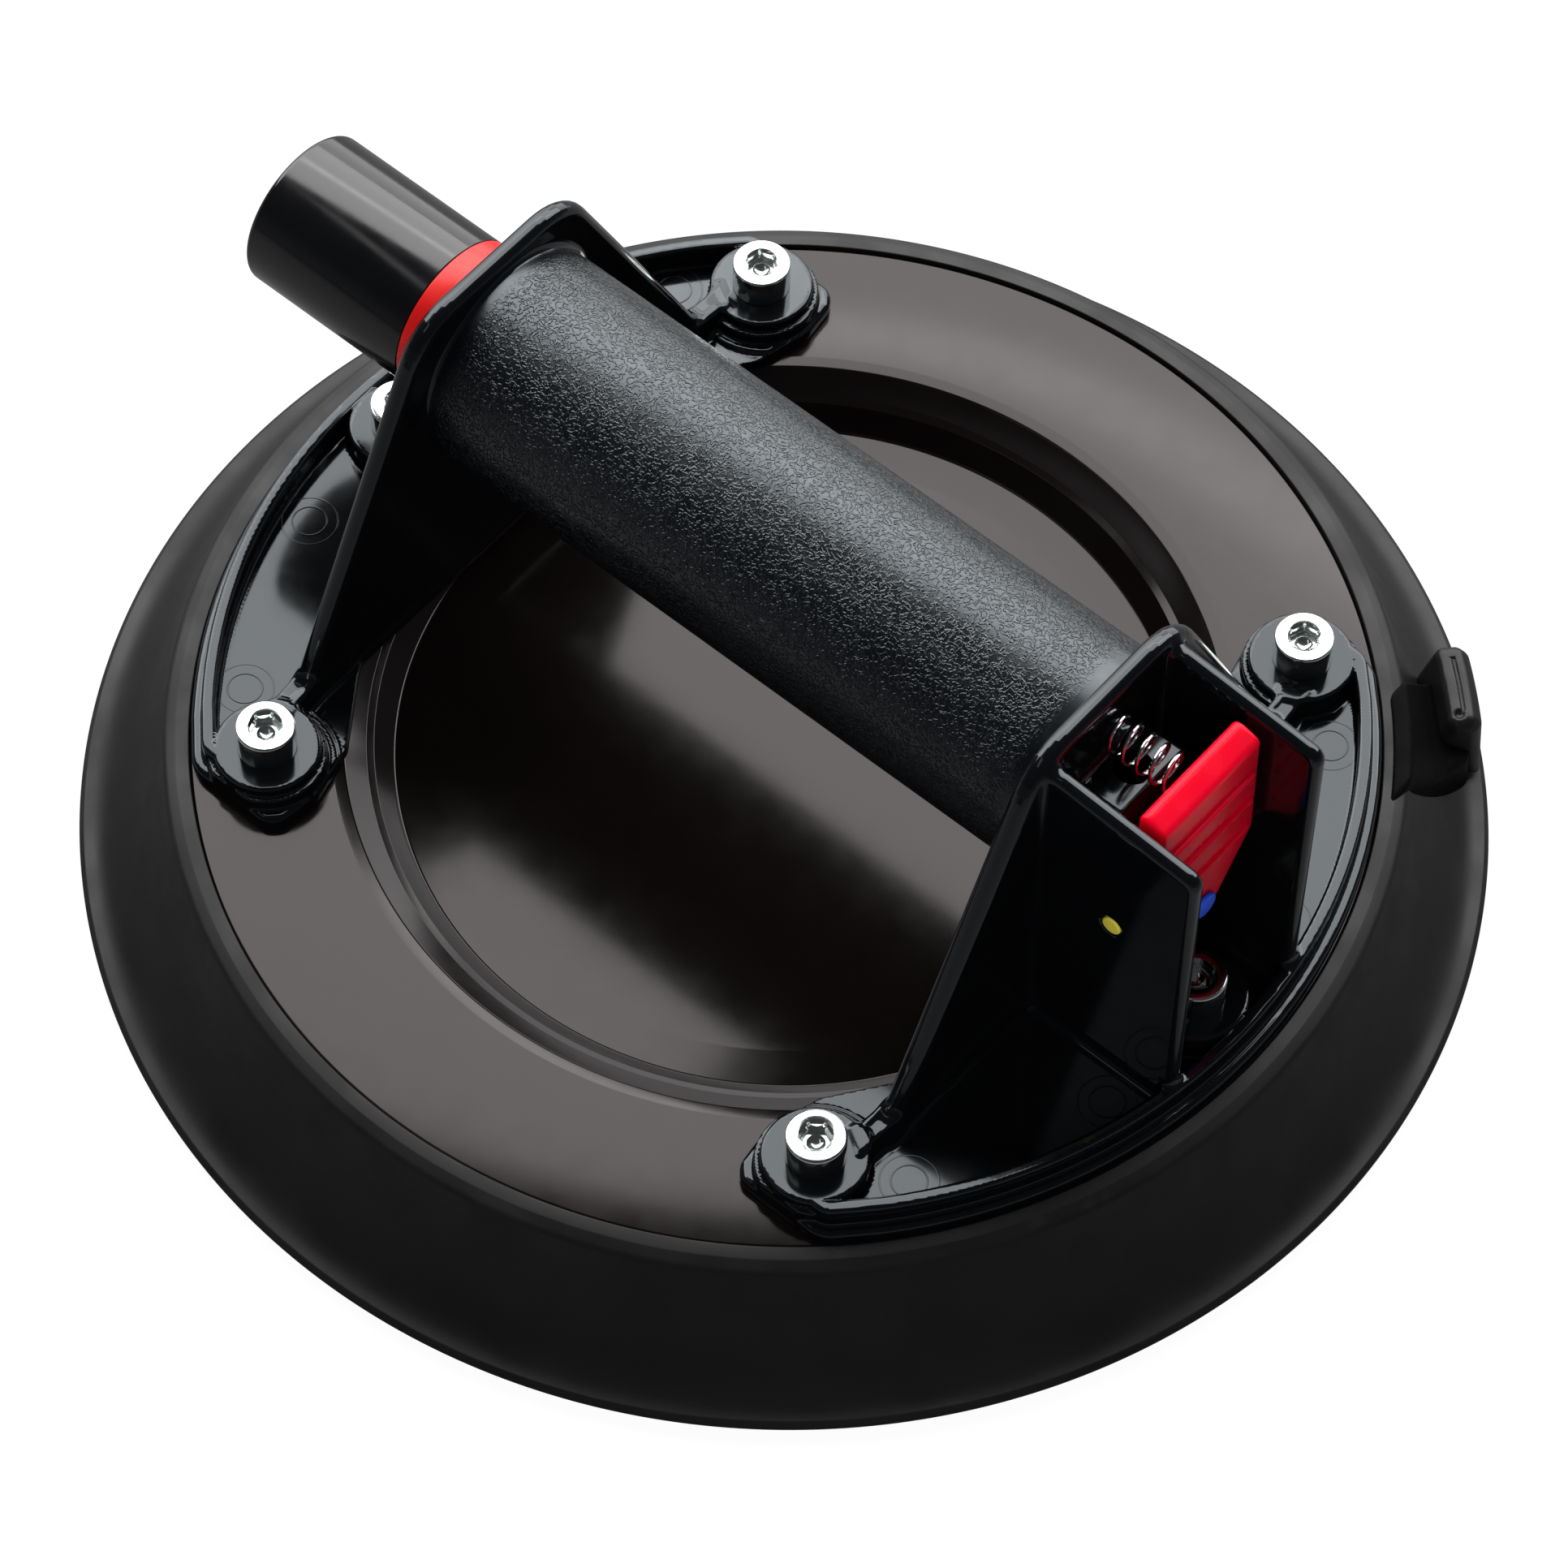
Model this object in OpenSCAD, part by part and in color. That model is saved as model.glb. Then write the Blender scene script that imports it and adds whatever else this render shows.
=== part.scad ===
// Hand-held vacuum lifting cup: a rubber suction pad on a dished backing plate, two handle
// brackets screwed to the plate, a plunger pump inside the grip and a release lever that
// vents the pad. Origin: centre of the sealing rim, on the surface the cup stands on.
// +Z is up, the plunger leaves the handle towards -X and the release lever is at +X.

/* [Suction pad] */
// Outer radius of the sealing rim
pad_r = 101.6; // [99:0.1:104]
// Depth of the cavity under the middle of the pad
cavity_depth = 10.5; // [9:0.1:11]
// Angle of the pull tab's bar round the pad, from +X
tab_angle = 46.6; // [45:0.1:48]
// Length of the pull tab's bar
tab_w = 14.3; // [12:0.1:15]
// Height of the top of the pull tab
tab_top = 18; // [17:0.1:20]

/* [Backing plate] */
// Outer radius of the plate
plate_r = 84.6; // [84:0.1:85]
// Height of the plate's flat ring
plate_z = 22.3; // [22:0.1:23]
// Sheet thickness of the plate
plate_t = 2.5; // [2:0.1:3]
// Inner radius of the flat ring
ring_r = 65; // [64:0.1:65.5]
// Radius of the step in the wall of the dish
step_r = 59.8; // [59:0.1:60]
// Radius of the dish floor
floor_r = 54.6; // [53:0.1:55]
// Height of the dish floor
floor_z = 16; // [15.5:0.1:16.5]

/* [Brackets] */
// Radius of the circle through the six screws
screw_circle_r = 73.5; // [73:0.1:74]
// Angle between a bracket's middle screw and its end screws
screw_angle = 46.7; // [46:0.1:47.5]
// Outer radius of a foot
foot_r = 84.2; // [84:0.1:84.4]
// Height of the screw bosses above the plate
boss_h = 6.1; // [5.8:0.1:6.4]
// Radius of a screw boss
boss_r = 7.6; // [7:0.1:8]
// Inner face of a flange, from the middle of the cup
flange_x = 52.4; // [52.2:0.1:53]
// Thickness of a flange
flange_t = 3.2; // [3:0.1:4]
// Height of the top of the flanges
flange_top = 84.4; // [84:0.1:87]
// Half width of a flange at its top, before the corners are rounded
flange_top_w = 15.5; // [15:0.1:16.5]
// Half width of a flange at the foot
flange_foot_w = 44.4; // [43:0.1:45]

/* [Handle and pump] */
// Height of the handle's axis
axis_z = 65.3; // [65:0.1:66]
// Radius of the grip
grip_r = 16.9; // [16.5:0.1:17.2]
// Outer radius of the pump cylinder
barrel_r = 14.7; // [14.5:0.1:14.8]
// Bore radius of the pump cylinder
bore_r = 12.8; // [12.6:0.1:12.9]
// Outer radius of the plunger
plunger_r = 11.9; // [11.8:0.1:12]
// Outer end of the plunger, from the middle of the cup
plunger_end = 90.6; // [90:0.1:95]

/* [Release valve] */
// Distance of the lever's pin from the middle of the cup
pin_x = 68; // [67.8:0.1:68.2]
// Height of the lever's pin
pin_z = 57.5; // [57:0.1:58]
// Radius of the lever's pin
pin_r = 1.5; // [1.4:0.1:1.6]
// Outer face of a cheek, from the middle plane
cheek_y = 14.2; // [13.8:0.1:14.4]
// Front edge of the cheeks
cheek_x = 80.6; // [80:0.1:81]
// Half width of the lever
lever_w = 10.4; // [9:0.1:10.6]
// Height of the top of the lever
lever_top = 81; // [80:0.1:81.5]
// Height of the valve nozzle
nozzle_z = 51.2; // [50.5:0.1:51.4]

/* [Hidden] */

$fn = 96;
eps = 0.02;
fit_gap = 0.05;

// Pad
shoulder = [89.4, 18.6];
rim_z = 2.9;

// Plate
plate_under = plate_z - plate_t;
step_z = 19.5;

// Fasteners: M5 socket cap screws
screw_r = 2.5;
screw_hole_r = 2.75;
head_r = 4.25;
head_h = 5;
socket_af = 4;
socket_depth = 2.6;
nut_r = 4.2;
nut_h = 3.8;
boss_top = plate_z + boss_h;
screw_spots = [
    for (a = [-screw_angle, 0, screw_angle])
        [screw_circle_r * cos(a), screw_circle_r * sin(a)]
];
end_spot = screw_spots[2];

// Foot
ledge_z = plate_z + 2.4;
pocket_z = plate_z + 1.9;
ledge_w = 1.5;
rim_w = 2;
tip_r = 74.6;
tip_angle = 55.4;
foot_end_angle = 46.7;
inner_corner = [43.6, 44.5];
ejector_r = 2.7;
ejector_depth = 0.25;

// Pump, along X from the plunger side
ring_w = 4.4;
ring_t = 1.2;
guide_lip = 1.2;
guide_reach = 8;
ring_x = -plunger_end + 28.6;
plunger_wall = 2.4;
plunger_in = -34;
head_x = 36;
barrel_end = 48;
seat_x = 46;
spigot_r = 4.5;
passage_r = 2;
spigot_end = 56.2;

// Valve bracket: cheeks, duct and port
cheek_top = 82.2;
rib_x = 63;
rib_w = 7;
duct_x = 59.5;
duct_top = 71.5;
plug_r = 2.8;
plug_h = 3;
port_x = 66.3;
port_r = 2.6;
port_flange_r = 4.2;
port_flange_z = 13.8;
pad_under_z = 15.6;
gallery_z = 25.2;
gallery_r = 1.6;

// Lever
lever_back = 67.9;
lever_front = 72.8;
hub_r = 3.6;
hub_w = 10.8;
arm_back = 71;
nozzle_tip = 69;
lever_foot_z = 48.6;
spring_z = 76.6;

function arc_points(cx, cy, r, a0, a1, n) =
    [for (i = [0:n]) let (a = a0 + (a1 - a0) * i / n) [cx + r * cos(a), cy + r * sin(a)]];

// Extrudes a Y-Z outline along X
module along_x(x, t) {
    translate([x, 0, 0]) rotate([90, 0, 90]) linear_extrude(t) children();
}

// Extrudes an X-Z outline along Y, centred on the middle plane
module along_y(w) {
    translate([0, w / 2, 0]) rotate([90, 0, 0]) linear_extrude(w) children();
}

// Cylinder on the handle's axis, from x0 to x1
module rod(r, x0, x1, z = axis_z) {
    translate([x0, 0, z]) rotate([0, 90, 0]) cylinder(r = r, h = x1 - x0);
}

// Tube on the handle's axis, from x0 to x1
module tube(r_out, r_in, x0, x1, z = axis_z) {
    difference() {
        rod(r_out, x0, x1, z);
        rod(r_in, x0 - 1, x1 + 1, z);
    }
}

// Compression spring along X: a round wire swept along a helix that closes up at both ends
module coil(x0, x1, coil_r, wire_r, turns, z, steps = 14, sides = 6) {
    n = round(turns * steps);
    length = x1 - x0 - 2 * wire_r;
    points = [
        for (i = [0:n]) let (a = 360 * i / steps)
            for (k = [0:sides - 1]) let (b = 360 * k / sides, r = coil_r + wire_r * cos(b))
                [x0 + wire_r + length * i / n + wire_r * sin(b), r * cos(a), z + r * sin(a)]
    ];
    faces = concat(
        [[for (k = [0:sides - 1]) k]],
        [for (i = [0:n - 1], k = [0:sides - 1]) let (m = (k + 1) % sides)
            [i * sides + k, (i + 1) * sides + k, (i + 1) * sides + m, i * sides + m]],
        [[for (k = [sides - 1:-1:0]) n * sides + k]]
    );
    polyhedron(points, faces, convexity = 8);
}

// ---- Pad and plate ----

// Half section of the dished plate's top surface, from the axis to the rim
plate_top = [
    [0, floor_z], [floor_r - 4, floor_z], [floor_r, floor_z + 0.15], [floor_r + 1.8, floor_z + 0.9],
    [step_r - 0.7, step_z - 0.3], [step_r + 1.1, step_z + 0.25],
    [ring_r - 0.9, plate_z - 0.3], [ring_r + 0.2, plate_z]
];
plate_bottom = [
    [ring_r + 1, plate_under], [step_r + 2.4, plate_under - 2.5], [step_r + 0.5, plate_under - 3],
    [floor_r + 3, floor_z - plate_t + 0.9], [floor_r, floor_z - plate_t], [0, floor_z - plate_t]
];

module backing_plate() {
    color([0.07, 0.065, 0.065]) difference() {
        rotate_extrude($fn = 180) polygon(concat(
            plate_top,
            [[plate_r - 0.5, plate_z], [plate_r, plate_z - 0.5], [plate_r, plate_under]],
            plate_bottom
        ));
        for (side = [1, -1], p = screw_spots)
            translate([side * p[0], side * p[1], plate_under - 1]) cylinder(r = screw_hole_r, h = 6);
        translate([port_x, 0, plate_under - 3]) cylinder(r = port_r + fit_gap, h = 6);
    }
}

// Half section of the moulded rubber, outside the plate and under it
skirt_top = concat(
    [[plate_r + fit_gap, plate_under], [plate_r + fit_gap, plate_z + 0.6]],
    arc_points(87, plate_z - 1.1, 2, 115, 10, 7),
    [shoulder],
    [for (i = [1:9]) let (t = i / 10)
        [shoulder[0] + (pad_r - 0.8 - shoulder[0]) * t,
            shoulder[1] - (shoulder[1] - rim_z) * (1 - pow(1 - t, 1.9))]],
    [[pad_r - 0.6, rim_z - 0.1], [pad_r, 2.3], [pad_r, 1.7], [pad_r - 1.1, 0.9], [pad_r - 1.9, 0]]
);
skirt_under = [
    [pad_r - 3.1, 0], [pad_r - 4, 0.6], [95.5, 1.8], [91.5, 5.2], [87.8, 9.8], [85.5, 13.4],
    [82, pad_under_z], [66, pad_under_z], [60, 13.6], [54.5, cavity_depth], [0, cavity_depth]
];

// Strap moulded onto the skirt, with an upright finger bar at its outer end
module pull_tab() {
    strap_x = [61.9, 73.4];
    intersection() {
        rotate_extrude($fn = 180) polygon([
            [86, 12], [86, plate_z + 0.7], [88.6, plate_z + 0.6], [92.5, 16], [94.6, 13.6],
            [98.4, 11], [98.9, 3], [94, 5]
        ]);
        translate([strap_x[0], 40, 0]) cube([strap_x[1] - strap_x[0], 40, 30]);
    }
    intersection() {
        rotate_extrude($fn = 180) polygon([
            [92, 6], [92.8, 11.5], [94.8, tab_top - 0.8], [95.6, tab_top], [98.4, tab_top],
            [99.8, tab_top - 1.4], [100.7, 4]
        ]);
        rotate(tab_angle) along_x(88, 16)
            offset(2.5, $fn = 24) offset(-2.5) translate([-tab_w / 2, -4]) square([tab_w, tab_top + 4]);
    }
}

module suction_pad() {
    color([0.16, 0.155, 0.15]) difference() {
        union() {
            rotate_extrude($fn = 180) polygon(concat(
                [[0, floor_z - plate_t]],
                [for (i = [len(plate_bottom) - 2:-1:0]) plate_bottom[i]],
                skirt_top, skirt_under
            ));
            intersection() {
                pull_tab();
                translate([0, 0, 3]) cylinder(r = pad_r - 0.8, h = 20);
            }
        }
        for (side = [1, -1], p = screw_spots)
            translate([side * p[0], side * p[1], plate_under - nut_h])
                cylinder(r = nut_r + 0.1, h = 6);
        translate([port_x, 0, 10]) {
            cylinder(r = port_r + fit_gap, h = 12);
            cylinder(r = port_flange_r + fit_gap, h = pad_under_z - 10);
        }
    }
}

// Threaded inserts clinched into the underside of the plate
module clinch_nuts() {
    color([0.75, 0.76, 0.78]) for (side = [1, -1], p = screw_spots)
        translate([side * p[0], side * p[1], plate_under - nut_h]) difference() {
            cylinder(r = nut_r, h = nut_h);
            translate([0, 0, 1]) cylinder(r = screw_r, h = nut_h);
        }
}

// ---- Brackets ----

// Plan of a foot: an arc along the plate's edge with a rounded lobe past each end screw
module foot_plan() {
    tip = tip_r * [cos(tip_angle), sin(tip_angle)];
    half = concat(
        arc_points(0, 0, foot_r, 0, foot_end_angle, 20),
        [tip, [tip[0] - 1, inner_corner[1] + 9], inner_corner, [flange_x, 32]]
    );
    offset(3, $fn = 24) offset(-3) polygon(concat(
        half, [for (i = [len(half) - 1:-1:1]) [half[i][0], -half[i][1]]]
    ));
}

// Everything outboard of the flange's outer face, where the foot carries its rim and pockets
module outboard() {
    translate([flange_x, -100]) square([60, 200]);
}

module bosses(r) {
    for (p = screw_spots) translate(p) circle(r);
}

module flange_plan() {
    round_r = 7.5;
    offset(round_r, $fn = 48) offset(-round_r) polygon([
        [-flange_foot_w, pocket_z - 8], [flange_foot_w, pocket_z - 8],
        [flange_foot_w, pocket_z], [flange_top_w, flange_top],
        [-flange_top_w, flange_top], [-flange_foot_w, pocket_z]
    ]);
}

module flange() {
    intersection() {
        along_x(flange_x, flange_t) flange_plan();
        translate([0, -60, plate_z]) cube([70, 120, 80]);
    }
}

// A web from each end boss to the end of the flange
module webs() {
    for (s = [1, -1]) translate([0, 0, plate_z]) linear_extrude(boss_h) polygon([
        [flange_x, s * (flange_foot_w - 3)], [flange_x + flange_t, s * (flange_foot_w - 3)],
        [end_spot[0] + 4.5, s * (end_spot[1] - 4)], [end_spot[0] + 1, s * (end_spot[1] - 6)]
    ]);
}

module ejector_marks() {
    marks = [[73.9, 19.3], [61.3, 46.6], [47.6, 43.5]];
    for (s = [1, -1], p = marks) translate([p[0], s * p[1], pocket_z - ejector_depth])
        difference() {
            cylinder(r = ejector_r, h = 1, $fn = 32);
            translate([0, 0, -1])
                cylinder(r = ejector_r - 0.5, h = 1 + ejector_depth - 0.1, $fn = 32);
        }
}

// Foot and flange that both brackets share, drawn for the +X side
module bracket_body() {
    translate([0, 0, plate_z]) linear_extrude(pocket_z - plate_z) foot_plan();
    translate([0, 0, pocket_z - eps]) linear_extrude(ledge_z - pocket_z + eps) difference() {
        intersection() {
            foot_plan();
            union() { outboard(); bosses(boss_r + 2.4); }
        }
        pocket_plan();
    }
    translate([0, 0, ledge_z - eps]) linear_extrude(boss_top - ledge_z + eps) difference() {
        intersection() {
            foot_plan();
            union() {
                intersection() {
                    offset(-ledge_w) foot_plan();
                    outboard();
                }
                bosses(boss_r);
            }
        }
        pocket_plan();
    }
    webs();
    flange();
}

module pocket_plan() {
    difference() {
        intersection() {
            offset(-ledge_w - rim_w) foot_plan();
            outboard();
        }
        bosses(boss_r);
    }
}

module bracket_screw_holes() {
    for (p = screw_spots) translate([p[0], p[1], plate_z - 1]) cylinder(r = screw_hole_r, h = 12);
}

module pump_bracket() {
    collar_r = grip_r + 1.2;
    color([0.05, 0.05, 0.055]) mirror([1, 0, 0]) difference() {
        union() {
            bracket_body();
            rod(collar_r, flange_x - 1.2, flange_x + 1);
        }
        rod(grip_r + fit_gap, flange_x - 2, flange_x);
        rod(barrel_r + fit_gap, flange_x - 3, flange_x + flange_t + 1);
        bracket_screw_holes();
        ejector_marks();
    }
}

module cheek_plan() {
    offset(1.5, $fn = 24) offset(-1.5) polygon([
        [flange_x + 1, pocket_z - 1], [flange_x + 1, cheek_top], [flange_x + flange_t + 2, cheek_top],
        [cheek_x, cheek_top - 2], [cheek_x, pocket_z - 1]
    ]);
}

module cheeks() {
    cheek_t = 2.6;
    for (s = [1, -1]) translate([0, s * (cheek_y - cheek_t / 2), 0])
        along_y(cheek_t) cheek_plan();
}

// Air passages: pump port to the vertical duct, down to the gallery and the plate's port
module duct() {
    rod(spigot_r + fit_gap, flange_x - 1, spigot_end + 0.1);
    rod(passage_r, spigot_end, duct_x);
    translate([duct_x, 0, gallery_z]) cylinder(r = passage_r, h = duct_top - gallery_z);
    translate([duct_x, 0, duct_top - plug_h]) cylinder(r = plug_r, h = plug_h + 1);
    rod(gallery_r, duct_x, port_x, gallery_z);
    translate([port_x, 0, plate_z - 1]) cylinder(r = gallery_r, h = gallery_z - plate_z + 1);
    translate([port_x, 0, plate_z - 1]) cylinder(r = 4.4, h = 2.2);
    rod(1.8, duct_x, rib_x + 1, nozzle_z);
    rod(3, 61.6, rib_x + 1, nozzle_z);
}

module valve_bracket() {
    color([0.05, 0.05, 0.055]) difference() {
        union() {
            bracket_body();
            cheeks();
            translate([flange_x + 1, -rib_w, plate_z])
                cube([rib_x - flange_x - 1, 2 * rib_w, duct_top - plate_z]);
            translate([port_x, 0, plate_z]) cylinder(r = 6, h = boss_h);
            rod(2.2, flange_x + 1, flange_x + flange_t + 2.4, spring_z);
        }
        duct();
        bracket_screw_holes();
        ejector_marks();
        along_pin(pin_r + 0.01, 2 * cheek_y + 2);
    }
}

module along_pin(r, w) {
    translate([pin_x, w / 2, pin_z]) rotate([90, 0, 0]) cylinder(r = r, h = w);
}

// M5 socket cap screw standing on a boss
module cap_screw() {
    difference() {
        union() {
            cylinder(r = head_r, h = head_h - 0.4);
            translate([0, 0, head_h - 0.4]) cylinder(r1 = head_r, r2 = head_r - 0.4, h = 0.4);
            translate([0, 0, plate_under - nut_h + 1.5 - boss_top])
                cylinder(r = screw_r - 0.02, h = boss_top - plate_under + nut_h - 1.5);
        }
        translate([0, 0, head_h - socket_depth])
            cylinder(r = socket_af / sqrt(3), h = socket_depth + 1, $fn = 6);
        translate([0, 0, head_h - 0.35]) cylinder(r1 = socket_af / 2, r2 = 2.8, h = 0.4);
    }
}

module pump_bracket_screws() {
    color([0.86, 0.88, 0.9]) for (p = screw_spots)
        translate([-p[0], p[1], boss_top]) rotate(p[1] * 2) cap_screw();
}

module valve_bracket_screws() {
    color([0.86, 0.88, 0.9]) for (p = screw_spots)
        translate([p[0], p[1], boss_top]) rotate(p[1] * 3) cap_screw();
}

// ---- Grip and pump ----

module grip_sleeve() {
    color([0.09, 0.09, 0.1]) tube(grip_r, barrel_r + fit_gap, -flange_x, flange_x);
}

module pump_cylinder() {
    color([0.75, 0.76, 0.78]) tube(barrel_r, bore_r, -flange_x - flange_t, barrel_end);
}

// Cap over the cylinder's mouth that guides the plunger
module plunger_guide() {
    mouth = -flange_x - flange_t;
    color([0.08, 0.08, 0.09]) difference() {
        union() {
            rod(barrel_r + 0.8, mouth - guide_lip + 0.4, mouth);
            rod(barrel_r + 0.4, mouth - guide_lip, mouth - guide_lip + 0.4);
            rod(bore_r - 0.02, mouth - 1, mouth + guide_reach);
        }
        rod(plunger_r + fit_gap, mouth - 10, mouth + 20);
    }
}

module plunger() {
    color([0.1, 0.1, 0.11]) difference() {
        union() {
            rod(plunger_r - 0.6, -plunger_end, -plunger_end + 0.6);
            rod(plunger_r, -plunger_end + 0.4, plunger_in);
        }
        rod(plunger_r - plunger_wall, -plunger_end + 3, plunger_in + 1);
        tube(plunger_r + 1, plunger_r - ring_t, ring_x, ring_x + ring_w);
    }
}

// Red band set flush into the plunger, hidden when the plunger is pushed home
module indicator_ring() {
    color([0.85, 0.05, 0.06])
        tube(plunger_r - 0.01, plunger_r - ring_t + 0.01, ring_x + 0.01, ring_x + ring_w - 0.01);
}

module piston() {
    color([0.8, 0.8, 0.78]) difference() {
        union() {
            rod(plunger_r - plunger_wall - 0.02, plunger_in - 6, plunger_in);
            rod(plunger_r, plunger_in, plunger_in + 2.5);
            rod(5, plunger_in + 2.5, plunger_in + 8);
        }
        rod(1.7, plunger_in - 2, plunger_in + 9);
    }
}

// Lip seal on the piston: holds on the outward stroke and lets air past on the inward one
module piston_cup() {
    x = plunger_in + 2.5;
    color([0.12, 0.12, 0.12]) difference() {
        union() {
            rod(bore_r - 0.6, x, x + 1.5);
            rod(bore_r - fit_gap, x + 1.5, x + 5.4);
        }
        rod(5.02, x - 1, x + 6);
        rod(bore_r - 2, x + 2.2, x + 6);
    }
}

module piston_screw() {
    x = plunger_in + 8;
    color([0.8, 0.82, 0.84]) difference() {
        union() {
            rod(1.68, plunger_in - 1.5, x);
            rod(6.5, x, x + 1);
            rod(3.6, x + 1, x + 3.4);
        }
        translate([x + 1.8, 0, axis_z]) rotate([0, 90, 0]) cylinder(r = 1.6, h = 2, $fn = 6);
    }
}

module plunger_spring() {
    color([0.82, 0.84, 0.86]) coil(plunger_in + 9.05, head_x - 0.05, 7.6, 0.55, 11, axis_z, 14);
}

// Inner end of the pump: closes the cylinder and holds the check valve
module pump_head() {
    color([0.16, 0.16, 0.17]) difference() {
        union() {
            rod(bore_r - 0.03, head_x + 0.05, barrel_end);
            rod(barrel_r, barrel_end, flange_x);
            rod(spigot_r, flange_x, spigot_end);
        }
        rod(5, head_x - 1, seat_x);
        rod(passage_r, seat_x - 1, 60);
        tube(bore_r + 1, bore_r - 1.6, 41, 43.6);
    }
}

module head_o_ring() {
    color([0.1, 0.1, 0.1]) translate([42.3, 0, axis_z]) rotate([0, 90, 0])
        rotate_extrude() translate([bore_r - 0.86, 0]) circle(0.72, $fn = 24);
}

module check_valve_cage() {
    color([0.85, 0.85, 0.8]) difference() {
        rod(4.98, head_x + 0.2, head_x + 2);
        rod(1.6, head_x - 1, head_x + 3);
        for (a = [45:90:315]) translate([0, 3.2 * cos(a), 3.2 * sin(a)]) rod(0.8, head_x - 1, head_x + 3);
    }
}

module check_valve_spring() {
    color([0.82, 0.84, 0.86]) coil(head_x + 2.05, seat_x - 2.15, 2.4, 0.2, 4, axis_z, 12);
}

// Rubber disc that the pad's air lifts off its seat as the plunger springs out
module check_valve_disc() {
    color([0.1, 0.1, 0.1]) union() {
        rod(4.2, seat_x - 2.05, seat_x - fit_gap);
        rod(1.6, seat_x - 3.2, seat_x - 2);
    }
}

// ---- Air port ----

module duct_plug() {
    color([0.09, 0.09, 0.1]) translate([duct_x, 0, duct_top - plug_h])
        cylinder(r = plug_r, h = plug_h);
}

// Hollow fitting through plate and pad, from the bracket's gallery to the vacuum cavity
module port_fitting() {
    color([0.78, 0.62, 0.25]) translate([port_x, 0, port_flange_z]) difference() {
        union() {
            cylinder(r = port_r, h = plate_z - port_flange_z);
            cylinder(r = port_flange_r, h = pad_under_z - port_flange_z);
        }
        translate([0, 0, -1]) cylinder(r = 1.3, h = 20);
        translate([0, 0, -1]) cylinder(r = 2.2, h = 2.4);
    }
}

module port_seal() {
    color([0.1, 0.1, 0.1]) translate([port_x, 0, plate_z + 0.6]) rotate_extrude()
        translate([3.4, 0]) circle(0.58, $fn = 24);
}

module port_filter() {
    color([0.8, 0.8, 0.75]) translate([port_x, 0, port_flange_z + 0.1]) cylinder(r = 2.18, h = 1.25);
}

// ---- Release valve ----

module valve_nozzle() {
    color([0.78, 0.62, 0.25]) difference() {
        union() {
            rod(2.98, 61.65, rib_x, nozzle_z);
            rod(3.6, rib_x, rib_x + 1.2, nozzle_z);
            rod(2.4, rib_x + 1.2, nozzle_tip, nozzle_z);
        }
        rod(1.2, 60, nozzle_tip + 1, nozzle_z);
    }
}

// Blue seal button pushed through the lever's arm, closing the nozzle at rest
module valve_plug() {
    color([0.05, 0.2, 0.75]) union() {
        rod(2.25, nozzle_tip + 0.08, arm_back, nozzle_z);
        rod(1.58, arm_back, lever_front + 0.2, nozzle_z);
        rod(2.4, lever_front + 0.2, lever_front + 1.3, nozzle_z);
    }
}

// Straight sides that taper to a narrow foot below the shoulder
module lever_front_plan() {
    shoulder_z = 59;
    foot_w = 2.8;
    offset(1.2, $fn = 24) offset(-1.2) polygon([
        [-lever_w, lever_top], [-lever_w, shoulder_z], [-foot_w, lever_foot_z],
        [foot_w, lever_foot_z], [lever_w, shoulder_z], [lever_w, lever_top]
    ]);
}

module lever_side_plan() {
    polygon([
        [lever_back, lever_top - 0.6], [lever_back + 0.6, lever_top],
        [lever_front - 0.6, lever_top - 1.6], [lever_front, lever_top - 2.6], [lever_front + 0.2, lever_foot_z], [arm_back, lever_foot_z],
        [arm_back, 53.6], [lever_back, 56.5]
    ]);
}

module release_lever() {
    rib_pitch = 6.35;
    color([0.85, 0.05, 0.08]) difference() {
        union() {
            intersection() {
                along_y(2 * lever_w) lever_side_plan();
                along_x(lever_back - 5, 12) lever_front_plan();
            }
            translate([pin_x, hub_w, pin_z]) rotate([90, 0, 0]) cylinder(r = hub_r, h = 2 * hub_w);
            for (i = [0:2]) translate([lever_front - 0.05, lever_w - 0.8, 60.5 + rib_pitch * i])
                rotate([90, 0, 0]) cylinder(r = 0.45, h = 2 * lever_w - 1.6, $fn = 16);
            rod(1.5, lever_back - 1.5, lever_back + 1, spring_z);
        }
        along_pin(pin_r + fit_gap, 2 * hub_w + 2);
        rod(1.6, arm_back - 4, lever_front + 3, nozzle_z);
    }
}

module lever_pin() {
    color([0.85, 0.72, 0.3]) along_pin(pin_r, 2 * cheek_y);
}

module lever_spring() {
    color([0.85, 0.86, 0.88])
        coil(flange_x + flange_t + 0.05, lever_back - 0.05, 2.75, 0.3, 5, spring_z, 14);
}

suction_pad();
backing_plate();
clinch_nuts();
pump_bracket();
valve_bracket();
pump_bracket_screws();
valve_bracket_screws();
grip_sleeve();
pump_cylinder();
plunger_guide();
plunger();
indicator_ring();
piston();
piston_cup();
piston_screw();
plunger_spring();
pump_head();
head_o_ring();
check_valve_cage();
check_valve_spring();
check_valve_disc();
duct_plug();
port_fitting();
port_seal();
port_filter();
valve_nozzle();
valve_plug();
release_lever();
lever_pin();
lever_spring();
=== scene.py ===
"""Looks of a hand-held vacuum lifting cup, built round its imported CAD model.

The visible pieces are remade with rounded edges and real materials where the CAD solids stand.
Lengths in the shape functions are millimetres; make_mesh() turns them into metres.
"""

import math

import bpy
import numpy as np
from mathutils import Matrix, Vector


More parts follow.
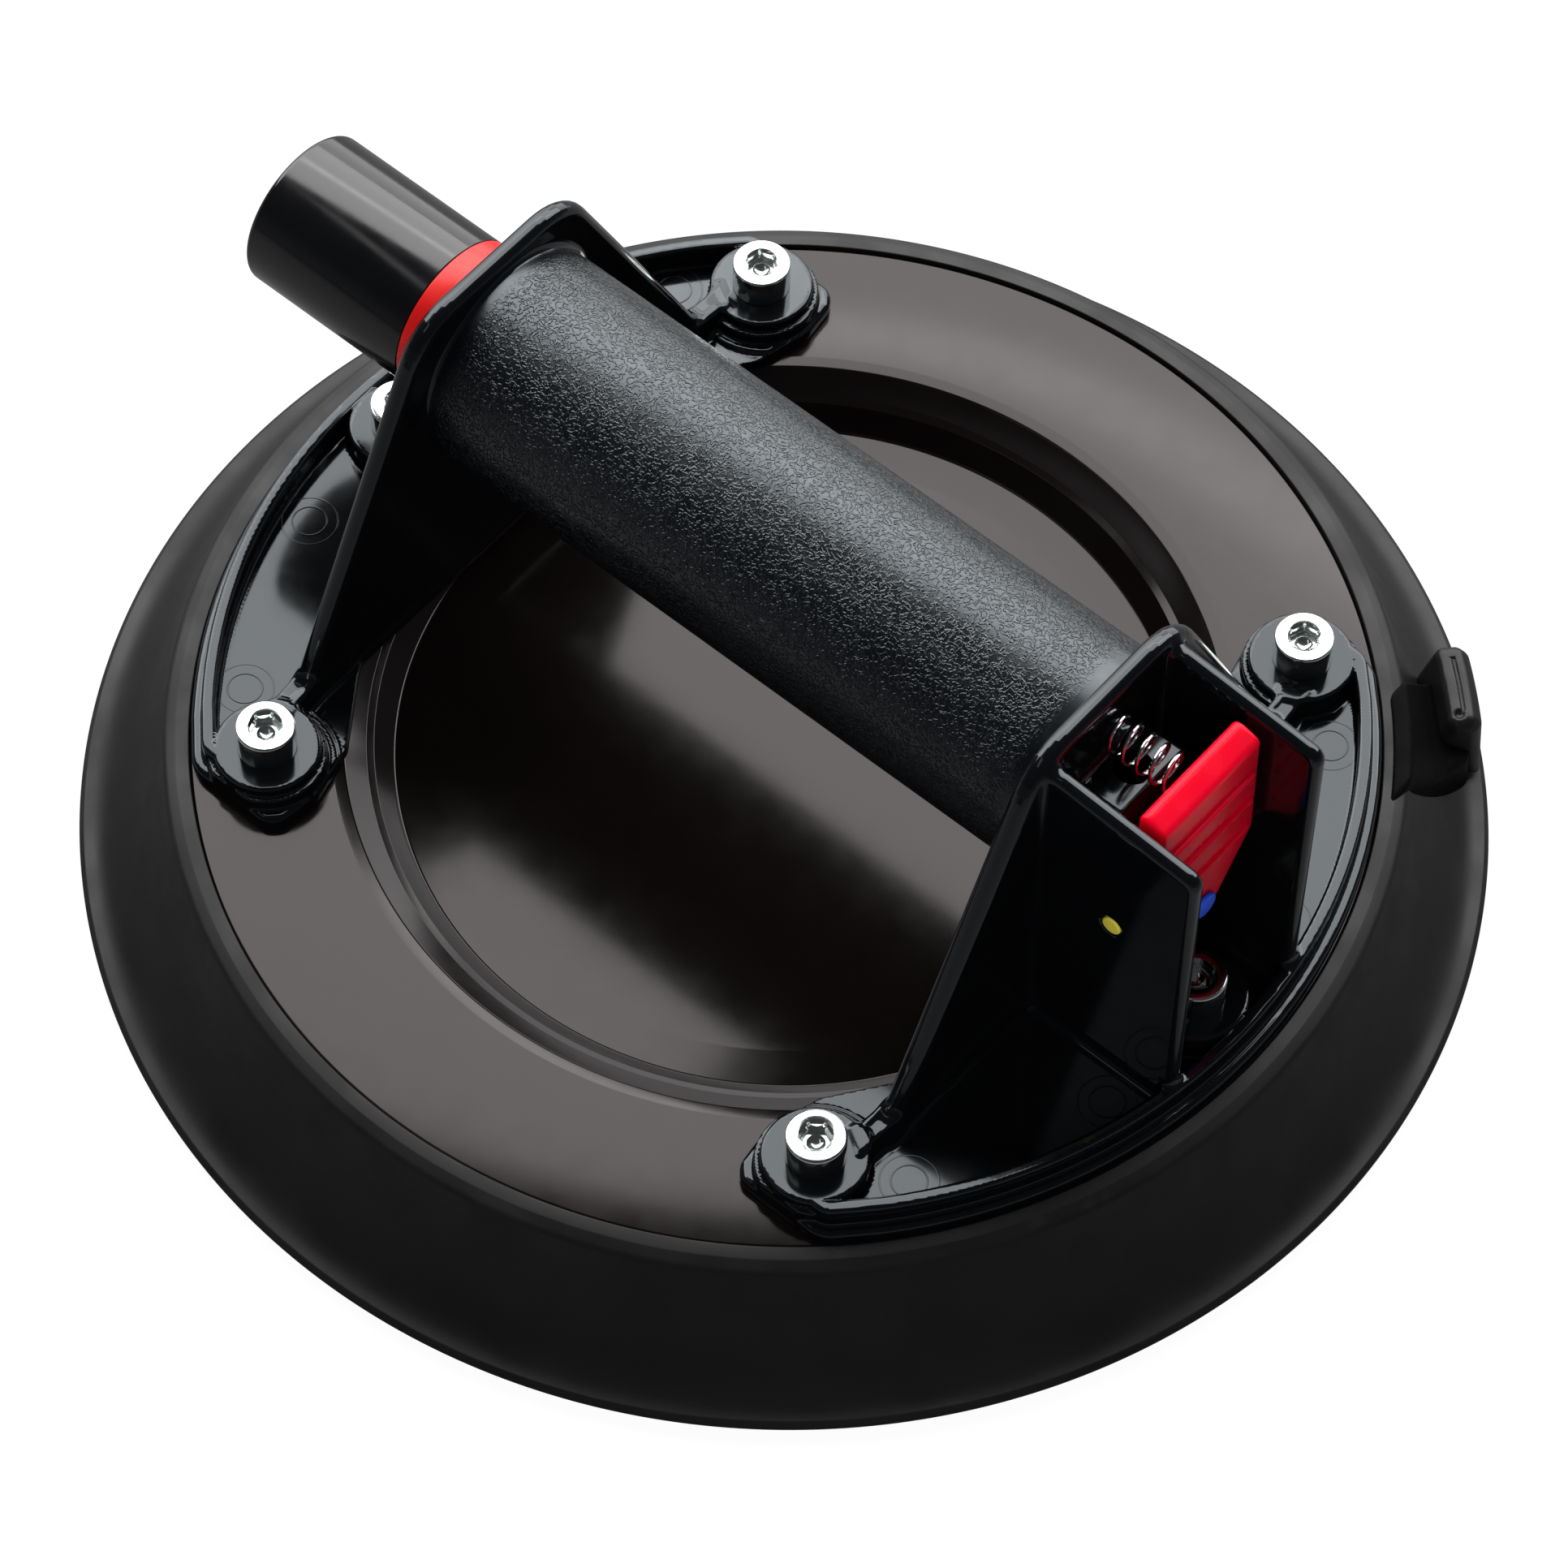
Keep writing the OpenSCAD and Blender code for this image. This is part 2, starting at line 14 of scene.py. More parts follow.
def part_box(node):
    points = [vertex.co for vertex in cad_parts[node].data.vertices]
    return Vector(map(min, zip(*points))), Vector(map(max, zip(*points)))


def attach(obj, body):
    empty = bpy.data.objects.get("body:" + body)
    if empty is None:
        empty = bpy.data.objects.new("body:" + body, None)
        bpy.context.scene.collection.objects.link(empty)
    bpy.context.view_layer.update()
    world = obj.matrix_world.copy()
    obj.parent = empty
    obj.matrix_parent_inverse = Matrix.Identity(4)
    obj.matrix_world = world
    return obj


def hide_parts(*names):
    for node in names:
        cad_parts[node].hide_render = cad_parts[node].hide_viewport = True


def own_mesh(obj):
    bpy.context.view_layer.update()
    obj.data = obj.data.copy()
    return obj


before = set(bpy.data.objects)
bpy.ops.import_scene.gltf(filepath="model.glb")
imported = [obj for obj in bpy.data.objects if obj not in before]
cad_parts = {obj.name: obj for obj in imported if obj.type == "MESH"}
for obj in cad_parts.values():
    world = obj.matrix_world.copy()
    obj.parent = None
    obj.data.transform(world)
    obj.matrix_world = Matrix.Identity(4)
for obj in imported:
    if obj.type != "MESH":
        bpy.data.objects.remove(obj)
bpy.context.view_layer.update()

MM = 0.001
TINY = 1e-6


def corners_of(node):
    """Lowest and highest corner of a CAD node, in millimetres."""
    low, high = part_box(node)
    return Vector(low) / MM, Vector(high) / MM


# ---- Places and sizes, from the frame ----

PAD_R = corners_of("suction_pad")[1].x
PLATE_R = corners_of("backing_plate")[1].x
PLATE_Z = corners_of("backing_plate")[1].z
PLATE_BOTTOM = corners_of("backing_plate")[0].z
PLATE_T = 2.5
PLATE_GAP = 0.05
FOOT_R = corners_of("valve_bracket")[1].x
FLANGE_TOP = corners_of("pump_bracket")[1].z
FLANGE_IN = corners_of("grip_sleeve")[1].x
FLANGE_OUT = -corners_of("pump_cylinder")[0].x
GRIP_LOW, GRIP_HIGH = corners_of("grip_sleeve")
GRIP_R = (GRIP_HIGH.z - GRIP_LOW.z) / 2
AXIS_Z = (GRIP_HIGH.z + GRIP_LOW.z) / 2
BARREL_R = corners_of("pump_cylinder")[1].y
PLUNGER_LOW, PLUNGER_HIGH = corners_of("plunger")
PLUNGER_R = PLUNGER_HIGH.y
RING_LOW, RING_HIGH = corners_of("indicator_ring")
PIN_LOW, PIN_HIGH = corners_of("lever_pin")
PIN_X = (PIN_LOW.x + PIN_HIGH.x) / 2
PIN_Z = (PIN_LOW.z + PIN_HIGH.z) / 2
PIN_R = (PIN_HIGH.x - PIN_LOW.x) / 2
CHEEK_Y = PIN_HIGH.y
LEVER_LOW, LEVER_HIGH = corners_of("release_lever")
LEVER_BACK = 67.9
LEVER_FRONT = 72.8
LEVER_HALF = 10.4
RIB_Z = 60.5
RIB_PITCH = 6.35
NOZZLE_Z = (corners_of("valve_nozzle")[0].z + corners_of("valve_nozzle")[1].z) / 2
SPRING_LOW, SPRING_HIGH = corners_of("lever_spring")
SPRING_Z = (SPRING_LOW.z + SPRING_HIGH.z) / 2

# M5 socket cap screws
HEAD_R = 4.25
HEAD_H = 5.0
SOCKET_AF = 4.0
SOCKET_DEPTH = 2.0
SHANK_R = 2.48
SHANK_L = 9.4
SCREW_ANGLE = math.radians(46.7)
BOSS_TOP = corners_of("valve_bracket_screws")[1].z - HEAD_H
SCREW_CIRCLE = corners_of("valve_bracket_screws")[1].x - HEAD_R
SCREW_SPOTS = [
    (SCREW_CIRCLE * math.cos(a), SCREW_CIRCLE * math.sin(a)) for a in (-SCREW_ANGLE, 0, SCREW_ANGLE)
]

# Brackets
POCKET_Z = PLATE_Z + 1.9
LEDGE_Z = PLATE_Z + 2.4
LEDGE_W = 1.5
RIM_W = 2.0
BOSS_R = 7.6
SCREW_HOLE_R = 2.75
FLANGE_FOOT_W = 44.4
FLANGE_TOP_W = 15.5
CHEEK_T = 2.6
CHEEK_X = 80.6
CHEEK_TOP = 82.2
BORE_GAP = 0.05
THROUGH = 200
EJECTOR_SPOTS = [(73.9, 19.3), (61.3, 46.6)]

# Pull tab
TAB_X = (61.9, 73.4)
TAB_ANGLE = math.radians(46.6)
TAB_HALF = 7.15

# Grid cell of the meshes made from distance fields
BRACKET_STEP = 0.36
LEVER_STEP = 0.2
STRAP_STEP = 0.35
BAR_STEP = 0.3


# ---- Outlines ----

def arc(radius, start, end, steps, centre=(0.0, 0.0)):
    """Points along an arc, in degrees from the first axis."""
    turns = np.radians(np.linspace(start, end, steps + 1))
    return [(centre[0] + radius * math.cos(t), centre[1] + radius * math.sin(t)) for t in turns]


def outline(corners, steps=5):
    """Points round a closed outline. A corner given as (x, y, radius) is rounded."""
    points = []
    for i, corner in enumerate(corners):
        p = Vector(corner[:2])
        if len(corner) == 2:
            points.append(p)
            continue
        before = Vector(corners[i - 1][:2]) - p
        after = Vector(corners[(i + 1) % len(corners)][:2]) - p
        half = before.angle(after) / 2
        reach = min(corner[2] / math.tan(half), 0.49 * before.length, 0.49 * after.length)
        centre = p + (before.normalized() + after.normalized()).normalized() * (reach / math.cos(half))
        first = p + before.normalized() * reach - centre
        last = p + after.normalized() * reach - centre
        turn = math.atan2(first.x * last.y - first.y * last.x, first.dot(last))
        for k in range(steps + 1):
            c, s = math.cos(turn * k / steps), math.sin(turn * k / steps)
            points.append(centre + Vector((c * first.x - s * first.y, s * first.x + c * first.y)))
    return np.array(points)


def mirrored(half):
    """A half outline and its mirror image across the first axis."""
    return list(half) + [(p[0], -p[1], *p[2:]) for p in reversed(half) if abs(p[1]) > TINY]


# ---- Distance fields: negative inside, rounded wherever solids end or meet ----

def inside_outline(points, x, y):
    """Distance to a closed outline in a plane."""
    x, y = np.broadcast_arrays(x, y)
    nearest = np.full(x.shape, np.inf)
    inside = np.zeros(x.shape, bool)
    for (ax, ay), (bx, by) in zip(points, np.roll(points, -1, axis=0)):
        ex, ey = bx - ax, by - ay
        if ex * ex + ey * ey < 1e-12:
            continue
        t = np.clip(((x - ax) * ex + (y - ay) * ey) / (ex * ex + ey * ey), 0, 1)
        nearest = np.minimum(nearest, (x - ax - t * ex) ** 2 + (y - ay - t * ey) ** 2)
        if ey:
            inside ^= ((ay <= y) != (by <= y)) & (x < ax + (y - ay) * ex / ey)
    return np.where(inside, -1, 1) * np.sqrt(nearest)


def slab(plan, low, high, along, radius):
    """A plan pulled from low to high along an axis, with its edges rounded."""
    side = plan + radius
    end = np.maximum(low - along, along - high) + radius
    return np.minimum(np.maximum(side, end), 0) + np.hypot(np.maximum(side, 0), np.maximum(end, 0)) - radius


def disc(x, y, centre, radius):
    """Distance to a circle in a plane."""
    return np.hypot(x - centre[0], y - centre[1]) - radius


def join(a, b, fillet):
    """Both solids, with a fillet where they meet."""
    overlap = np.maximum(fillet - np.abs(a - b), 0) / fillet
    return np.minimum(a, b) - overlap * overlap * fillet / 4


def cut(a, b, rounding):
    """The first solid less the second, with the new edge rounded."""
    return -join(-a, b, rounding)


def gradient(field, p, reach=0.01):
    """Slope of a distance field at some points, from four samples round each."""
    steps = np.array([(1, 1, 1), (1, -1, -1), (-1, 1, -1), (-1, -1, 1)])
    total = np.zeros_like(p)
    for s in steps:
        total += s * field(*(p + s * reach).T)[:, None]
    return total / (4 * reach)


# ---- Meshes ----

def make_mesh(name, points, faces, normals=None, crease=35):
    """A smooth-shaded object in metres, from points in millimetres."""
    mesh = bpy.data.meshes.new(name)
    mesh.from_pydata((np.asarray(points, float) * MM).tolist(), [], faces)
    mesh.validate()
    mesh.shade_smooth()
    if normals is None:
        mesh.set_sharp_from_angle(angle=math.radians(crease))
    else:
        mesh.normals_split_custom_set_from_vertices(normals.tolist())
    piece = bpy.data.objects.new(name, mesh)
    bpy.context.scene.collection.objects.link(piece)
    return piece


def inside_of(field, low, high, step, block=6, batch=2000):
    """Which points of a grid are in a solid. Only blocks near its surface are worked out in full."""
    low = np.array(low, float)
    counts = np.ceil((np.array(high, float) - low) / (step * block)).astype(int)
    corners = np.indices(counts).reshape(3, -1).T
    middle = low + (corners + 0.5) * block * step
    values = field(*middle.T)
    coarse = (values < 0).reshape(counts)
    solid = coarse.repeat(block, 0).repeat(block, 1).repeat(block, 2)
    near = corners[np.abs(values) < 0.9 * block * step]
    offsets = np.indices((block,) * 3).reshape(3, -1).T
    for part in np.array_split(near, len(near) // batch + 1):
        spots = (part[:, None, :] * block + offsets[None]).reshape(-1, 3)
        solid[tuple(spots.T)] = field(*(low + spots * step).T) < 0
    return solid


def skin(name, field, low, high, step):
    """Meshes the surface of a distance field: one point per grid cell it crosses, pulled onto it."""
    low = np.array(low, float)
    solid = inside_of(field, low, high, step)
    cells = np.zeros([n - 1 for n in solid.shape], np.int8)
    for i in (0, 1):
        for j in (0, 1):
            for k in (0, 1):
                cells += solid[i:i + cells.shape[0], j:j + cells.shape[1], k:k + cells.shape[2]]
    crossed = (cells > 0) & (cells < 8)
    index = np.full(cells.shape, -1)
    index[crossed] = np.arange(crossed.sum())
    start = low + (np.argwhere(crossed) + 0.5) * step
    points = start.copy()
    for _ in range(3):
        slope = gradient(field, points)
        pull = field(*points.T)[:, None] * slope / np.maximum((slope ** 2).sum(1), 0.25)[:, None]
        points = start + np.clip(points - pull - start, -0.7 * step, 0.7 * step)
    slope = gradient(field, points)
    normals = slope / np.maximum(np.linalg.norm(slope, axis=1), 1e-9)[:, None]
    faces = []
    for a in range(3):
        step_b, step_c = np.eye(3, dtype=int)[(a + 1) % 3], np.eye(3, dtype=int)[(a + 2) % 3]
        here = np.moveaxis(solid, a, 0)
        edges = np.argwhere(here[:-1] != here[1:])
        nodes = np.insert(edges[:, 1:], a, edges[:, 0], axis=1)
        ring = np.stack([
            index[tuple((nodes - step_b - step_c).T)], index[tuple((nodes - step_c).T)],
            index[tuple(nodes.T)], index[tuple((nodes - step_b).T)],
        ], axis=1)
        outward = solid[tuple(nodes.T)]
        ring[~outward] = ring[~outward][:, ::-1]
        faces += ring.tolist()
    return make_mesh(name, points, faces, normals)


def stitch(rings, closed=False):
    """Faces between each ring of point numbers and the next; a ring that is one point makes a fan."""
    faces = []
    for ring, upper in zip(rings, rings[1:] + (rings[:1] if closed else [])):
        for i in range(len(ring)):
            k = (i + 1) % len(ring)
            face = list(dict.fromkeys([ring[i], ring[k], upper[k], upper[i]]))
            if len(face) > 2:
                faces.append(face)
    return faces


def lathe(name, corners, segments=256, axis="z", height=0.0, steps=5):
    """Turns a closed half section round an axis: (radius, z) round Z, (x, radius) round X."""
    section = outline(corners, steps)
    if axis == "x":
        section = section[:, ::-1]
    area = sum(a[0] * b[1] - b[0] * a[1] for a, b in zip(section, np.roll(section, -1, axis=0)))
    if area < 0:
        section = section[::-1]
    turns = np.linspace(0, 2 * math.pi, segments, endpoint=False)
    rings, points = [], []
    for radius, along in section:
        if radius < TINY:
            rings.append([len(points)] * segments)
            points.append((0.0, 0.0, along))
        else:
            rings.append(list(range(len(points), len(points) + segments)))
            points += [(radius * math.cos(t), radius * math.sin(t), along) for t in turns]
    points = np.array(points)
    if axis == "x":
        points = np.stack([points[:, 2], points[:, 0], points[:, 1] + height], axis=1)
    return make_mesh(name, points, stitch(rings, closed=True))


def coil(name, x0, x1, coil_r, wire_r, turns, z, steps=36, sides=10):
    """A round wire wound along X from x0 to x1."""
    count = round(turns * steps)
    angle = 2 * math.pi * np.arange(count + 1) / steps
    along = np.linspace(x0 + wire_r, x1 - wire_r, count + 1)
    points = []
    for a, x in zip(angle, along):
        for k in range(sides):
            b = 2 * math.pi * k / sides
            r = coil_r + wire_r * math.cos(b)
            points.append((x + wire_r * math.sin(b), r * math.cos(a), z + r * math.sin(a)))
    faces = [list(range(sides)), list(range(count * sides + sides - 1, count * sides - 1, -1))]
    for i in range(count):
        for k in range(sides):
            m = (k + 1) % sides
            faces.append([i * sides + k, (i + 1) * sides + k, (i + 1) * sides + m, i * sides + m])
    return make_mesh(name, points, faces)


def merge(name, *pieces):
    """Joins meshes into one object of that name."""
    with bpy.context.temp_override(active_object=pieces[0], selected_editable_objects=list(pieces)):
        bpy.ops.object.join()
    pieces[0].name = pieces[0].data.name = name
    return pieces[0]


# ---- Materials ----

def plug(tree, socket, value):
    """Sets an input, or links it if the value is another node's output."""
    if isinstance(value, bpy.types.NodeSocket):
        tree.links.new(value, socket)
    else:
        socket.default_value = value


def add(tree, kind, settings=None, **inputs):
    """A shader node with its settings and inputs."""
    node = tree.nodes.new("ShaderNode" + kind)
    for key, value in (settings or {}).items():
        setattr(node, key, value)
    for key, value in inputs.items():
        plug(tree, node.inputs[key.replace("_", " ")], value)
    return node


def spread(tree, value, low, high, from_low=0.35, from_high=0.65):
    """Maps a noise value onto a range."""
    return add(tree, "MapRange", Value=value, From_Min=from_low, From_Max=from_high,
               To_Min=low, To_Max=high).outputs[0]


def noise(tree, place, size, detail=2.0):
    """Noise with features of a given size in millimetres."""
    return add(tree, "TexNoise", Vector=place, Scale=1 / size, Detail=detail).outputs["Fac"]


def mix(tree, factor, a, b):
    """A blend of two colours."""
    node = add(tree, "Mix", {"data_type": "RGBA"})
    for number, value in ((0, factor), (6, a), (7, b)):
        plug(tree, node.inputs[number], value)
    return node.outputs[2]


def calc(tree, operation, *values):
    """A math node's result."""
    node = add(tree, "Math", {"operation": operation})
    for socket, value in zip(node.inputs, values):
        plug(tree, socket, value)
    return node.outputs[0]


def shade(colour, factor):
    """A colour made lighter or darker, with its alpha."""
    return (*(min(1.0, c * factor) for c in colour), 1.0)


def material(name, colour, roughness, mottle=0.12, mottle_size=14.0, rough_spread=0.15,
             grain=0.6, depth=0.004, wear=0.0, worn=(0.3, 0.3, 0.3), relief=None, **sockets):
    """A moulded, painted or metal surface: uneven colour and gloss, fine grain and worn edges."""
    result = bpy.data.materials.new(name)
    result.use_nodes = True
    tree = result.node_tree
    shader = tree.nodes["Principled BSDF"]
    for key, value in sockets.items():
        shader.inputs[key.replace("_", " ")].default_value = value
    coordinates = add(tree, "TexCoord").outputs["Object"]
    place = add(tree, "VectorMath", {"operation": "SCALE"}, Vector=coordinates, Scale=1 / MM).outputs[0]
    blotches = spread(tree, noise(tree, place, mottle_size, 4.0), 0.0, 1.0)
    base = mix(tree, blotches, shade(colour, 1 - mottle), shade(colour, 1 + mottle))
    dull = spread(tree, noise(tree, place, mottle_size / 3, 3.0),
                  roughness * (1 - rough_spread), roughness * (1 + rough_spread))
    if wear:
        edge = spread(tree, add(tree, "NewGeometry").outputs["Pointiness"], 0.0, wear, 0.52, 0.6)
        broken = spread(tree, noise(tree, place, 2.0, 5.0), 0.0, 1.0, 0.4, 0.6)
        base = mix(tree, calc(tree, "MULTIPLY", edge, broken), base, (*worn, 1.0))
    tree.links.new(base, shader.inputs["Base Color"])
    tree.links.new(dull, shader.inputs["Roughness"])
    bump = add(tree, "Bump", Height=noise(tree, place, grain, 3.0), Distance=depth * MM, Strength=1.0)
    if relief:
        height, height_depth = relief(tree, place)
        bump = add(tree, "Bump", Height=height, Distance=height_depth * MM, Strength=1.0,
                   Normal=bump.outputs[0])
    tree.links.new(bump.outputs[0], shader.inputs["Normal"])
    return result


def leather(tree, place):
    """Fine wormy grain that fades out at the grip's two ends."""
    swirl = add(tree, "TexNoise", Vector=place, Scale=1.6, Detail=0.5, Distortion=0.5).outputs["Fac"]
    ridges = spread(tree, calc(tree, "ABSOLUTE", calc(tree, "SUBTRACT", swirl, 0.5)), 1.0, 0.0, 0.0, 0.1)
    x = add(tree, "SeparateXYZ", Vector=place).outputs[0]
    fade = spread(tree, calc(tree, "ABSOLUTE", x), 1.0, 0.0, FLANGE_IN - 4.0, FLANGE_IN - 1.5)
    return calc(tree, "MULTIPLY", ridges, fade), 0.065


def put_on(piece, finish, body="base", replaces=()):
    """Gives a piece its material and its body, and hides the CAD nodes it stands for."""
    piece.data.materials.clear()
    piece.data.materials.append(finish)
    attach(piece, body)
    if replaces:
        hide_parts(*replaces)
    return piece


RUBBER = material("pad_rubber", (0.0062, 0.0055, 0.0058), 0.5, mottle=0.16, mottle_size=30, grain=0.5,
                  depth=0.01, wear=0.2, worn=(0.03, 0.028, 0.028), Specular_IOR_Level=0.3)
# Painted shade: the strap is darker than the pad rubber and nearly without gloss, standing in for the shadow
# between the lip and the finger bar.
STRAP_PAINTED_SHADE = material("strap_rubber_painted_shade", (0.003, 0.003, 0.003), 0.5, grain=0.5, depth=0.01, Specular_IOR_Level=0.02)
BAR = material("bar_rubber", (0.006, 0.006, 0.006), 0.4, grain=0.5, depth=0.008, Specular_IOR_Level=0.25)
PAINT = material("plate_paint", (0.004, 0.0028, 0.0025), 0.13, mottle=0.1, rough_spread=0.1, grain=2.5,
                 depth=0.002, IOR=1.4, Specular_Tint=(0.93, 0.87, 0.86, 1.0))
MOULDED = material("bracket_plastic", (0.0025, 0.0028, 0.0036), 0.1, mottle=0.1, grain=1.6, depth=0.002,
                   wear=0.06, worn=(0.02, 0.02, 0.024), Specular_Tint=(0.88, 0.95, 1.0, 1.0))
GRIP = material("grip_plastic", (0.0022, 0.003, 0.0045), 0.26, mottle=0.12, grain=0.3, depth=0.003,
                relief=leather, IOR=1.62, Specular_Tint=(0.87, 0.95, 1.0, 1.0))
PLUNGER = material("plunger_plastic", (0.003, 0.0032, 0.0038), 0.15, mottle=0.06, grain=0.6, depth=0.002,
                   IOR=1.55)
RED_RING = material("red_ring", (0.75, 0.01, 0.01), 0.28, grain=0.5, depth=0.003,
                    Specular_Tint=(1.0, 0.7, 0.65, 1.0))
RED_LEVER = material("red_lever", (0.72, 0.0015, 0.02), 0.26, mottle=0.03, grain=0.4, depth=0.002,
                     wear=0.01, worn=(0.8, 0.06, 0.1), Specular_IOR_Level=0.35,
                     Specular_Tint=(1.0, 0.25, 0.3, 1.0), Subsurface_Weight=0.7,
                     Subsurface_Radius=(1.0, 0.12, 0.12), Subsurface_Scale=0.005)
BLUE = material("blue_plug", (0.01, 0.09, 0.8), 0.4)
BRASS = material("brass_pin", (1.0, 0.82, 0.09), 0.45, Metallic=0.05, grain=0.2)
ZINC = material("bright_steel", (0.87, 0.91, 0.89), 0.16, Metallic=1.0, mottle=0.04, rough_spread=0.3,
                grain=0.3, depth=0.002, wear=0.3, worn=(0.96, 0.96, 0.96))
WIRE = material("spring_wire", (0.85, 0.86, 0.88), 0.14, Metallic=1.0, mottle=0.05, grain=0.2)
ALUMINIUM = material("cylinder_aluminium", (0.75, 0.76, 0.78), 0.3, Metallic=1.0, grain=0.3)
INNER = material("inner_plastic", (0.02, 0.02, 0.022), 0.3)
ACETAL = material("piston_plastic", (0.7, 0.7, 0.66), 0.45)
SEAL = material("seal_rubber", (0.02, 0.02, 0.02), 0.6)
FELT = material("filter_felt", (0.7, 0.69, 0.65), 0.9, grain=0.3, depth=0.06)


# ---- Pad and plate ----

def suction_pad():
    """Moulded pad: sealing rim, curved skirt, lip round the plate and bed under it."""
    under_plate = PLATE_Z - PLATE_T
    lip = PLATE_Z + 0.6
    top_r, top_z = 89.4, 18.6
    bottom_r, bottom_z = PAD_R - 0.8, 2.9
    skirt = []
    for i in range(1, 12):
        t = i / 12
        fall = 1 - (1 - t) ** 1.9
        skirt.append((top_r + (bottom_r - top_r) * t, top_z + (bottom_z - top_z) * fall))
    section = [
        (0, 10.5), (54.5, 10.5, 3), (60, 13.6, 3), (66, 15.6, 3), (82, 15.6, 3), (85.5, 13.4, 2),
        (87.8, 9.8, 3), (91.5, 5.2, 3), (95.5, 1.8, 2), (PAD_R - 4, 0.6, 1), (PAD_R - 3.1, 0, 0.3),
        (PAD_R - 1.9, 0, 0.4), (PAD_R - 1.0, 1.0, 0.5), (PAD_R, 1.7, 0.3), (PAD_R, 2.3, 0.3),
        (PAD_R - 0.7, bottom_z, 0.5), *reversed(skirt),
        (top_r, top_z, 2.5), (88.4, PLATE_Z - 0.6, 1.6), (86.6, lip - 0.35, 0.9),
        (PLATE_R + PLATE_GAP, lip, 0.2), (PLATE_R + PLATE_GAP, under_plate),
        (66, under_plate), (62.2, under_plate - 2.5), (60.3, under_plate - 3), (57.6, 14.4), (54.6, 13.5),
        (0, 13.5),
    ]
    return lathe("suction_pad_body", section, segments=360)


def strap_field(x, y, z):
    """Strap moulded onto the skirt, from the lip out to the finger bar."""
    side = outline([
        (86, 12), (86, PLATE_Z + 0.7, 0.5), (88.6, PLATE_Z + 0.6, 1.2), (92.5, 16, 3), (94.6, 13.6, 2),
        (98.4, 11, 1), (98.9, 3), (94, 5),
    ])
    return slab(inside_outline(side, np.hypot(x, y), z), *TAB_X, x, 0.9)


def bar_field(x, y, z):
    """Upright bar that a finger pulls, with a shallow groove and a dimple in its top."""
    out = np.hypot(x, y)
    across = -x * math.sin(TAB_ANGLE) + y * math.cos(TAB_ANGLE)
    side = outline([
        (92, 6), (92.8, 11.5, 2), (94.8, 17.2, 1.5), (95.5, 18, 1), (98.4, 18, 1.5), (99.8, 16.4, 2),
        (100.7, 3.6),
    ])
    bar = slab(inside_outline(side, out, z), -TAB_HALF, TAB_HALF, across, 1.8)
    groove = slab(np.abs(out - 97.1) - 0.25, 17.7, 19, z, 0.1)
    groove = np.maximum(groove, np.abs(across) - TAB_HALF + 2.6)
    dimple = np.sqrt((out - 96.5) ** 2 + (across + TAB_HALF - 2.0) ** 2 + (z - 18.3) ** 2) - 0.85
    return cut(cut(bar, groove, 0.3), dimple, 0.3)


def backing_plate():
    """Pressed plate: flat ring, wall with a step in it, and dish."""
    under_z = PLATE_Z - PLATE_T
    top = [
        (0, 16), (50, 16, 6), (55.8, 16.1, 0.8), (58.6, 19.2, 0.4), (59.7, 19.65, 0.4),
        (62.9, PLATE_Z - 0.2, 0.8), (64.6, PLATE_Z, 0.8), (PLATE_R, PLATE_Z, 0.5), (PLATE_R, under_z, 0.3),
    ]
    under = [
        (66, under_z, 1), (62.2, under_z - 2.5, 1), (60.3, under_z - 3, 1), (57.6, PLATE_BOTTOM + 0.9, 1),
        (54.6, PLATE_BOTTOM, 1), (0, PLATE_BOTTOM),
    ]
    return lathe("plate", top + under, segments=360)


# ---- Brackets ----

def foot_outline():
    """The foot's plan: an arc along the plate's edge and a lobe round each outer screw."""
    half = [
        *arc(FOOT_R, 0, 41, 18), (57.75, 61.3, 5), (42.4, 61.4, 3), (41.4, 53.5, 4), (43.6, 44.5, 3),
        (FLANGE_IN, 32, 1),
    ]
    return outline(mirrored(half), 6)


FOOT = foot_outline()
FLANGE = outline([
    (-FLANGE_FOOT_W, PLATE_Z), (FLANGE_FOOT_W, PLATE_Z), (FLANGE_FOOT_W, POCKET_Z, 0.8),
    (FLANGE_TOP_W, FLANGE_TOP, 10.5), (-FLANGE_TOP_W, FLANGE_TOP, 10.5), (-FLANGE_FOOT_W, POCKET_Z, 0.8),
], 8)


def from_screws(x, y):
    """Distance to the nearest screw's axis."""
    return np.minimum.reduce([disc(x, y, spot, 0) for spot in SCREW_SPOTS])


def foot_field(x, y, z):
    """The foot with its ledge, rim, pockets and bosses."""
    plan = inside_outline(FOOT, x, y)
    outboard = FLANGE_IN - x
    screws = from_screws(x, y)
    base = slab(plan, PLATE_Z, POCKET_Z, z, 0.3)
    ledge_plan = np.maximum(plan, np.minimum(outboard, screws - BOSS_R - 2.4))
    ledge = slab(ledge_plan, PLATE_Z, LEDGE_Z, z, 0.7)
    rim_plan = np.minimum(np.maximum(plan + LEDGE_W, outboard), np.maximum(plan + 0.2, screws - BOSS_R))
    rim = slab(rim_plan, PLATE_Z, BOSS_TOP, z, 0.5)
    lip_plan = np.maximum(plan + 0.1, screws - BOSS_R - 0.8)
    rim = join(rim, slab(lip_plan, PLATE_Z, BOSS_TOP - 1.7, z, 0.25), 0.2)
    pocket_plan = np.maximum(np.maximum(plan + LEDGE_W + RIM_W, outboard), BOSS_R - screws)
    pocket = slab(pocket_plan, POCKET_Z, BOSS_TOP + 6, z, 0.5)
    return cut(join(join(base, ledge, 0.4), rim, 0.6), pocket, 0.7)


